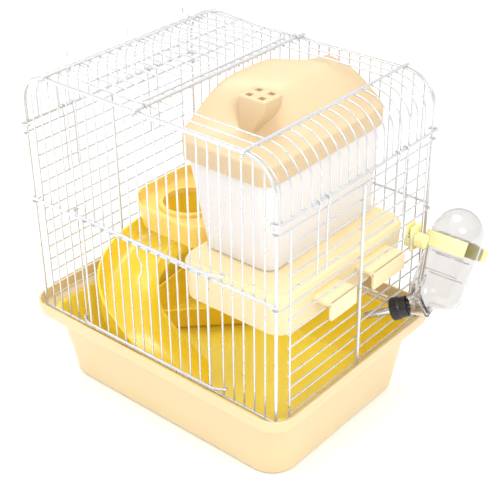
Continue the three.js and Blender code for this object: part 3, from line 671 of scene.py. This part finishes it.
# ---- hut ------------------------------------------------------------------------------
def hut_walls():
    low, high = DECK_HI.z + GAP, 240.0
    levels = [(0.0, low), (0.02, low + 2), (0.3, low + 24), (0.6, low + 48), (0.97, high - 2), (1.0, high)]

    def outline(t, z, d):
        x0, x1 = 16.5 + (2.4 - 16.5) * t, 83 + (85 - 83) * t
        y0, y1 = -50 + (-56 + 50) * t, 86 + (89 - 86) * t
        return round_ring(x0 + d, x1 - d, y0 + d, y1 - d, max(10 + 2 * t - d, 0.5), z, 14)

    rings = [outline(t, z, 0) for t, z in levels] + [outline(t, z, 1.6) for t, z in reversed(levels)]
    s = Shape().rings(rings, loop=True)
    # the doorway: a round-topped opening in the left wall
    half, spring = 16, 26
    doorway = [(-half, -5), (half, -5), (half, spring)]
    for k in range(1, 24):
        a = math.pi * k / 24
        doorway.append((half * math.cos(a), spring + half * math.sin(a)))
    doorway.append((-half, spring))
    cutter = [[Vector((x, 15 + u, DECK_HI.z + 4 + v)) for u, v in doorway] for x in (0.0, 30.0)]
    mesh = solid_mesh(s, [("DIFFERENCE", Shape().rings(cutter))])
    return dress("hut_walls", mesh, WHITE, "hut_walls", sharp=40)


LID_X0, LID_X1, LID_Y0, LID_Y1 = -0.6, 87.6, -58.6, 91.6
LID_EDGE_Z = 250.0


def lid_height(x, y):
    s = y - (0.6 + 0.45 * smoothstep(20 - y, 0, 50)) * (x - LID_X0)
    crest = 29 * math.exp(-(abs((s - 22) / 60) ** 3.5))
    side = smoothstep(LID_X1 - x, 0, 50)
    tail = 8 * math.exp(-(((x - 28) / 11) ** 2) - ((y - LID_Y1) / 14) ** 2)
    return LID_EDGE_Z + (crest + tail) * side


def hut_roof():
    low, top = extent("hut_roof")[0].z, extent("hut_roof")[1].z
    fine = [i / 28 for i in range(1, 28)]
    half = (LID_X1 - LID_X0) / 2

    def ring(inset, drop):
        radius = max(min(13 - inset * 0.4, half - inset), 0.0)
        return round_ring(LID_X0 + inset, LID_X1 - inset, LID_Y0 + inset, LID_Y1 - inset, radius,
                          lambda x, y: lid_height(x, y) - drop, 12, fine)

    def skirt(inset, z, r=13):
        return round_ring(LID_X0 + inset, LID_X1 - inset, LID_Y0 + inset, LID_Y1 - inset,
                          r, z, 12, fine)

    insets = [half, 42, 39, 36, 33, 30, 27, 24, 21, 18, 15, 12, 9, 6.5, 4.2, 2.6]
    rings = [ring(d, 0) for d in insets]
    rings += [ring(1.5, 0.2), ring(0.8, 0.6), ring(0.3, 1.3), ring(0.05, 2.2), ring(0.0, 3.2)]
    rings += [skirt(0, 245), skirt(0, low + 1.2), skirt(0.3, low + 0.3), skirt(0.9, low),
              skirt(1.5, low + 0.3), skirt(1.8, low + 1.2, 12), skirt(1.8, 245, 12)]
    rings += [ring(d, 2) for d in (2.6, 4.2, 9, 15, 21, 27, 33, 39, 42, half)]
    s = Shape().rings(rings, caps=False)

    # square chimney whose right face leans in towards its foot
    chimney = Shape()
    cols = []
    for z, x1, d in ((249, 43, 0), (255, 44.0, 0), (269, 53.6, 0), (top - 1.6, 54.9, 0),
                     (top - 0.7, 55.0, 0.05), (top - 0.2, 54.7, 0.4), (top, 54.0, 1.0)):
        cols.append(round_ring(29 + d, x1, -22 + d, 0 - d, 2.2, z, 6))
    chimney.rings(cols)
    vents = [("DIFFERENCE", Shape().box((x - 2.7, y - 2.5, 269), (x + 2.7, y + 2.5, 285), 0.3))
             for x in (36.0, 48.0) for y in (-16.5, -5.5)]
    stack = solid_mesh(chimney, vents)
    mesh = bpy.data.meshes.new("hut_roof")
    mesh.from_pydata([p * MM for p in s.points], [], s.faces)
    bm = bmesh.new()
    bm.from_mesh(mesh)
    bmesh.ops.remove_doubles(bm, verts=bm.verts, dist=2e-6)
    bmesh.ops.recalc_face_normals(bm, faces=bm.faces)
    bm.from_mesh(stack)
    bm.to_mesh(mesh)
    bm.free()
    return dress("hut_roof", mesh, LID, "hut_roof", sharp=42)


# ---- corner pan -------------------------------------------------------------------------
def corner_pan():
    cx, cy, leg = -108.0, 76.0, 76.0

    def outline(inset, z, rise):
        r = 22 - inset
        pts = []
        corners = ((cx + 24, cy - 24, 90, 180, r + 2), (cx + 12, cy - leg + 12, 180, 315, r - 10),
                   (cx + leg - 12, cy - 12, -45, 90, r - 10))
        for ux, uy, a0, a1, rad in corners:
            for i in range(13):
                a = math.radians(a0 + (a1 - a0) * i / 12)
                x, y = ux + rad * math.cos(a), uy + rad * math.sin(a)
                back = smoothstep(y - x - (cy - cx) + 100, 0, 60)
                pts.append(Vector((x, y, z + rise * back)))
        return pts

    z = extent("corner_pan")[0].z
    profile = soften([(8, z, 0), (5, z, 0), (2, z + 3, 0), (0, z + 21, 16), (0.3, z + 22, 16),
                      (1.5, z + 22, 16), (1.8, z + 21, 16), (4, z + 4, 0), (6, z + 2, 0), (9, z + 2, 0)],
                     [0, 2, 2.5, 0.6, 0.5, 0.5, 0.6, 3, 2, 0], 4)
    s = Shape().rings([outline(*p) for p in profile])
    return make("corner_pan", s, YELLOW, "corner_pan", sharp=50)


# ---- drinking bottle ------------------------------------------------------------------------
NECK = Vector((145.9, 44, 110.1))
NECK_DIR = Vector((-0.82, -0.42, -0.39)).normalized()
BODY_LOW = Vector((155, 71.8, 117))
BODY_HIGH = Vector((155, 95.5, 154.6))
AXIS = (BODY_HIGH - BODY_LOW).normalized()
ACROSS = AXIS.cross(Vector((1, 0, 0))).normalized()
BOTTLE_R = 21.75


def skin_of(field, lo, hi, step):
    """Mesh of the surface where the field is zero, by surface nets, then pulled onto it."""
    counts = [int(math.ceil((hi[d] - lo[d]) / step)) + 1 for d in range(3)]
    grid = np.stack(np.meshgrid(*[lo[d] + step * np.arange(counts[d]) for d in range(3)], indexing="ij"), -1)
    value = field(grid)
    cells = tuple(c - 1 for c in counts)
    total, hits = np.zeros(cells + (3,)), np.zeros(cells)
    for d in range(3):
        e, f = [k for k in range(3) if k != d]
        for oe in (0, 1):
            for of in (0, 1):
                start = [slice(0, c) for c in cells]
                start[e] = slice(oe, oe + cells[e])
                start[f] = slice(of, of + cells[f])
                end = list(start)
                end[d] = slice(1, 1 + cells[d])
                a, b = value[tuple(start)], value[tuple(end)]
                cross = (a < 0) != (b < 0)
                t = np.where(cross, a / np.where(cross, a - b, 1), 0)
                total[..., d] += t
                total[..., e] += cross * oe
                total[..., f] += cross * of
                hits += cross
    used = hits > 0
    index = np.full(cells, -1)
    index[used] = np.arange(used.sum())
    points = (np.argwhere(used) + total[used] / hits[used][:, None]) * step + np.array(lo)
    for _ in range(4):
        h = 0.05
        slope = np.stack([(field(points + h * np.eye(3)[d]) - field(points - h * np.eye(3)[d])) / (2 * h)
                          for d in range(3)], -1)
        move = (field(points) / np.maximum((slope ** 2).sum(-1), 0.2))[:, None] * slope
        points -= np.clip(move, -0.5 * step, 0.5 * step)
    faces = []
    for d in range(3):
        e, f = (d + 1) % 3, (d + 2) % 3
        start = [slice(1, c) for c in cells]
        start[d] = slice(0, cells[d])
        end = list(start)
        end[d] = slice(1, 1 + cells[d])
        a, b = value[tuple(start)], value[tuple(end)]
        at = np.argwhere((a < 0) != (b < 0))
        inward = a[tuple(at.T)] < 0
        at[:, e] += 1
        at[:, f] += 1
        corner = []
        for se, sf in ((-1, -1), (0, -1), (0, 0), (-1, 0)):
            c = at.copy()
            c[:, e] += se
            c[:, f] += sf
            corner.append(index[tuple(c.T)])
        quads = np.stack(corner, -1)
        quads[~inward] = quads[~inward][:, ::-1]
        faces.append(quads)
    return points, np.concatenate(faces)


def bottle_field(wall):
    """Distance to the bottle's surface: a domed body with a rounded foot, blended into the neck."""
    low, high = np.array(BODY_LOW), np.array(BODY_HIGH)
    neck, along = np.array(NECK), np.array(NECK_DIR)
    length = np.linalg.norm(high - low)
    axis = (high - low) / length

    def field(p):
        r = BOTTLE_R - 0.6 - wall
        up = (p - low) @ axis
        t = np.clip(up, 8, length)
        dome = np.linalg.norm(p - low - t[..., None] * axis, axis=-1) - r
        out = np.linalg.norm(p - low - up[..., None] * axis, axis=-1)
        bend = 12.0
        a, b = out - (r - bend), np.abs(up - 2.5) - (18.5 - wall - bend)
        foot = np.hypot(np.maximum(a, 0), np.maximum(b, 0)) + np.minimum(np.maximum(a, b), 0) - bend
        body = np.minimum(dome, foot)
        h = (p - neck) @ along
        rho = np.linalg.norm(p - neck - h[..., None] * along, axis=-1)
        radius = 7.35 + 5.0 * (1 - np.clip((h + 13) / 13, 0, 1)) ** 1.3
        stub = np.maximum(np.maximum((rho - radius + wall) * 0.8, h - 8 + wall), -13 - h)
        k = 9.0
        mix = np.clip(0.5 + 0.5 * (stub - body) / k, 0, 1)
        return stub * (1 - mix) + body * mix - k * mix * (1 - mix)

    return field


def bottle():
    """Thin-walled body and neck, with three short raised bars on each broad side."""
    lo, hi = extent("bottle")
    lo, hi = [c - 3 for c in lo], [c + 3 for c in hi]
    mesh = bpy.data.meshes.new("bottle")
    bm = bmesh.new()
    for wall, out in ((0.0, True), (1.1, False)):
        points, quads = skin_of(bottle_field(wall), lo, hi, 1.0)
        part = bpy.data.meshes.new("work")
        part.from_pydata([tuple(p * MM) for p in points], [], [tuple(int(i) for i in q) for q in quads])
        one = bmesh.new()
        one.from_mesh(part)
        bmesh.ops.recalc_face_normals(one, faces=one.faces)
        if not out:
            bmesh.ops.reverse_faces(one, faces=one.faces)
        one.to_mesh(part)
        one.free()
        bm.from_mesh(part)
    bars = Shape()
    for depth in (2.7, 18.7, 34.2):
        centre = BODY_HIGH - AXIS * depth
        for middle in (-58, 122):
            path = []
            for i in range(33):
                a = math.radians(middle - 40 + 80 * i / 32)
                outward = Vector((1, 0, 0)) * math.cos(a) + ACROSS * math.sin(a)
                path.append(centre + outward * (BOTTLE_R - 0.5))
            bars.wire(path, 0.5, 10)
    bm.from_mesh(mesh_of(bars))
    bm.to_mesh(mesh)
    bm.free()
    return dress("bottle", mesh, CLEAR, "bottle", sharp=60)


def bottle_cap():
    ribs, segments = 30, 180
    turn = Vector((0, 0, 1)).rotation_difference(NECK_DIR)
    profile = [(7.8, 0.6), (8.4, 0.6), (8.55, 1.2), (8.6, 6.2), (9.15, 7.0), (9.15, 13.0), (8.6, 13.9),
               (3.5, 14.0), (3.5, 12.0), (7.8, 12.0)]
    profile = soften(profile, [0.2, 0.3, 0.4, 0.6, 0.4, 0.5, 0.5, 0.4, 0.2, 0.2], 3, True)
    rings = []
    for r, h in profile:
        ring = []
        for k in range(segments):
            a = 2 * math.pi * k / segments
            groove = (0.5 - 0.5 * math.cos(a * ribs)) ** 0.5
            cut = 0.34 * smoothstep(r, 8.9, 9.1) * groove if 7.2 < h < 13.2 else 0
            ring.append(NECK + turn @ Vector(((r - cut) * math.cos(a), (r - cut) * math.sin(a), h)))
        rings.append(ring)
    return make("bottle_cap", Shape().rings(rings, loop=True), BLACK, "bottle_cap", sharp=40)


def small_parts():
    section = soften([(3.6, 8.3), (7.3, 8.3), (7.3, 9.9), (3.6, 9.9)], 0.3, 3, True)
    seal = Shape().turned(section, NECK, NECK_DIR, 48, True)
    make("cap_seal", seal, RUBBER, "cap_seal")
    section = [(1.9, 10.2), (5.4, 10.2), (5.4, 11.7), (3.1, 11.7), (3.1, 36.4), (2.4, 37.9),
               (2.1, 38.2), (1.75, 38.1), (2.5, 36.6), (2.5, 34.2), (1.9, 34)]
    section = soften(section, [0.2, 0.3, 0.3, 0.3, 1.2, 0.4, 0.3, 0.1, 0.4, 0.2, 0.2], 4, True)
    tube = Shape().turned(section, NECK, NECK_DIR, 48, True)
    make("spout_tube", tube, STEEL, "spout_tube")
    at = NECK + NECK_DIR * 36.3
    ball = Shape().turned([(max(2.1 * math.sin(math.pi * i / 20), 0.02), -2.1 * math.cos(math.pi * i / 20))
                           for i in range(21)], at, NECK_DIR, 32)
    make("spout_ball", ball, STEEL, "spout_ball", "spout_ball")


def bottle_clip():
    inner = BOTTLE_R + GAP + 0.05
    outer = inner + 1.6
    centre = BODY_LOW + AXIS * 35
    place = Matrix.Translation(centre) @ Matrix((Vector((1, 0, 0)), ACROSS, AXIS)).transposed().to_4x4()
    band = Shape()
    section = soften([(inner, -6), (outer, -6), (outer, 6), (inner, 6)], 0.55, 4, True)
    rings = []
    for k in range(97):
        a = math.radians(38 + (319 - 38) * k / 96)
        rings.append([Vector((r * math.cos(a), r * math.sin(a), h)) for r, h in section])
    band.rings(rings)
    band.move(place)
    lip = Shape().box((inner + 0.3, -0.9, -5), (outer + 5, 0.9, 5), 0.7)
    lip.move(place @ Matrix.Rotation(math.radians(38) + 0.04, 4, "Z"))
    face, back = SIDE_X + THIN + GAP, SIDE_X - THIN - GAP
    z = SIDE_TOP_Z - 6.5 * SIDE_PITCH
    front = Shape().box((face, 66, z - 8), (face + 2.8, 80, z + 14), 1.35)
    hook = Shape().box((back - 2.5, 66, z - 4), (face + 1, 76, z + 4), 0.8)
    rear = Shape().box((back - 2.5, 67, z - 4), (back, 79, z + 15), 1.2)
    bridge = Shape().box((face + 1, 67, z - 3), (143, 76, z + 8), 2.6)
    r0 = inner + 0.1
    bore = Shape().turned([(r0, -60), (r0, 60)], centre, AXIS, 96)
    arm = solid_mesh(bridge, [("DIFFERENCE", bore)])
    pieces = Shape()
    for part in (band, lip, front, hook, rear):
        pieces.join(part)
    mesh = solid_mesh(pieces)
    bm = bmesh.new()
    bm.from_mesh(mesh)
    bm.from_mesh(arm)
    bm.to_mesh(mesh)
    bm.free()
    return dress("bottle_clip", mesh, CLIP, "bottle_clip", sharp=35)


tray()
end_panel("front_panel", -1, True)
end_panel("back_panel", 1, False)
side_panel("left_panel", -1)
side_panel("right_panel", 1)
roof_panel()
front_door()
roof_hatch()
platform()
landing()
slide()
hut_walls()
hut_roof()
corner_pan()
bottle()
bottle_cap()
small_parts()
bottle_clip()

# ---- floor, light and camera ----------------------------------------------------------------
floor_mesh = bpy.data.meshes.new("floor")
floor_mesh.from_pydata([(-6, -6, 0), (6, -6, 0), (6, 6, 0), (-6, 6, 0)], [], [(0, 1, 2, 3)])
floor = bpy.data.objects.new("floor", floor_mesh)
bpy.context.scene.collection.objects.link(floor)
floor_mesh.materials.append(surface("floor_paper", (0.97, 0.97, 0.97), (0.96, 0.96, 0.96), 0.9, grain=200.0))
floor.location.z = -0.0002

# bright overhead, dimmer towards the horizon, so the wires keep some shade
world = bpy.data.worlds.new("studio")
bpy.context.scene.world = world
world.use_nodes = True
sky, links = world.node_tree.nodes, world.node_tree.links
direction = sky.new("ShaderNodeTexCoord")
split = sky.new("ShaderNodeSeparateXYZ")
fade = sky.new("ShaderNodeMapRange")
links.new(direction.outputs["Generated"], split.inputs["Vector"])
links.new(split.outputs["Z"], fade.inputs["Value"])
fade.inputs["From Min"].default_value = 0.0
fade.inputs["From Max"].default_value = 0.8
fade.inputs["To Min"].default_value = 0.55
fade.inputs["To Max"].default_value = 1.2
links.new(fade.outputs["Result"], sky["Background"].inputs["Strength"])
sky["Background"].inputs["Color"].default_value = (1.0, 1.0, 1.0, 1)
bpy.context.scene.view_settings.view_transform = "Standard"


def lamp(name, at, to, size, watts):
    data = bpy.data.lights.new(name, "AREA")
    data.shape = "DISK"
    data.size = size
    data.energy = watts
    o = bpy.data.objects.new(name, data)
    bpy.context.scene.collection.objects.link(o)
    o.location = at
    o.rotation_mode = "QUATERNION"
    o.rotation_quaternion = (Vector(to) - Vector(at)).to_track_quat("-Z", "Y")


lamp("key", (1.3, -0.8, 1.5), (0, 0, 0.12), 0.9, 17)
lamp("top", (-0.4, 0.3, 1.9), (0, 0, 0.1), 1.2, 10.5)
lamp("left", (-1.2, -1.1, 0.8), (0, 0, 0.12), 0.8, 4.5)

CAMERA_AT = (0.5333, -0.6019, 0.6113)
LENS, SENSOR = 82.4, 36

cam_data = bpy.data.cameras.new("camera")
cam_data.lens = LENS
cam_data.sensor_width = SENSOR
camera = bpy.data.objects.new("camera", cam_data)
bpy.context.scene.collection.objects.link(camera)
azimuth, elevation, roll = math.radians(40.40), math.radians(31.14), math.radians(-0.61)
back = Vector((math.sin(azimuth) * math.cos(elevation), -math.cos(azimuth) * math.cos(elevation),
               math.sin(elevation)))
right = Vector((math.cos(azimuth), math.sin(azimuth), 0))
up = back.cross(right)
right2 = right * math.cos(roll) + up * math.sin(roll)
up2 = back.cross(right2)
turned = Matrix((right2, up2, back)).transposed().to_4x4()
camera.matrix_world = Matrix.Translation(CAMERA_AT) @ turned
cam_data.clip_start = 0.01
bpy.context.scene.camera = camera
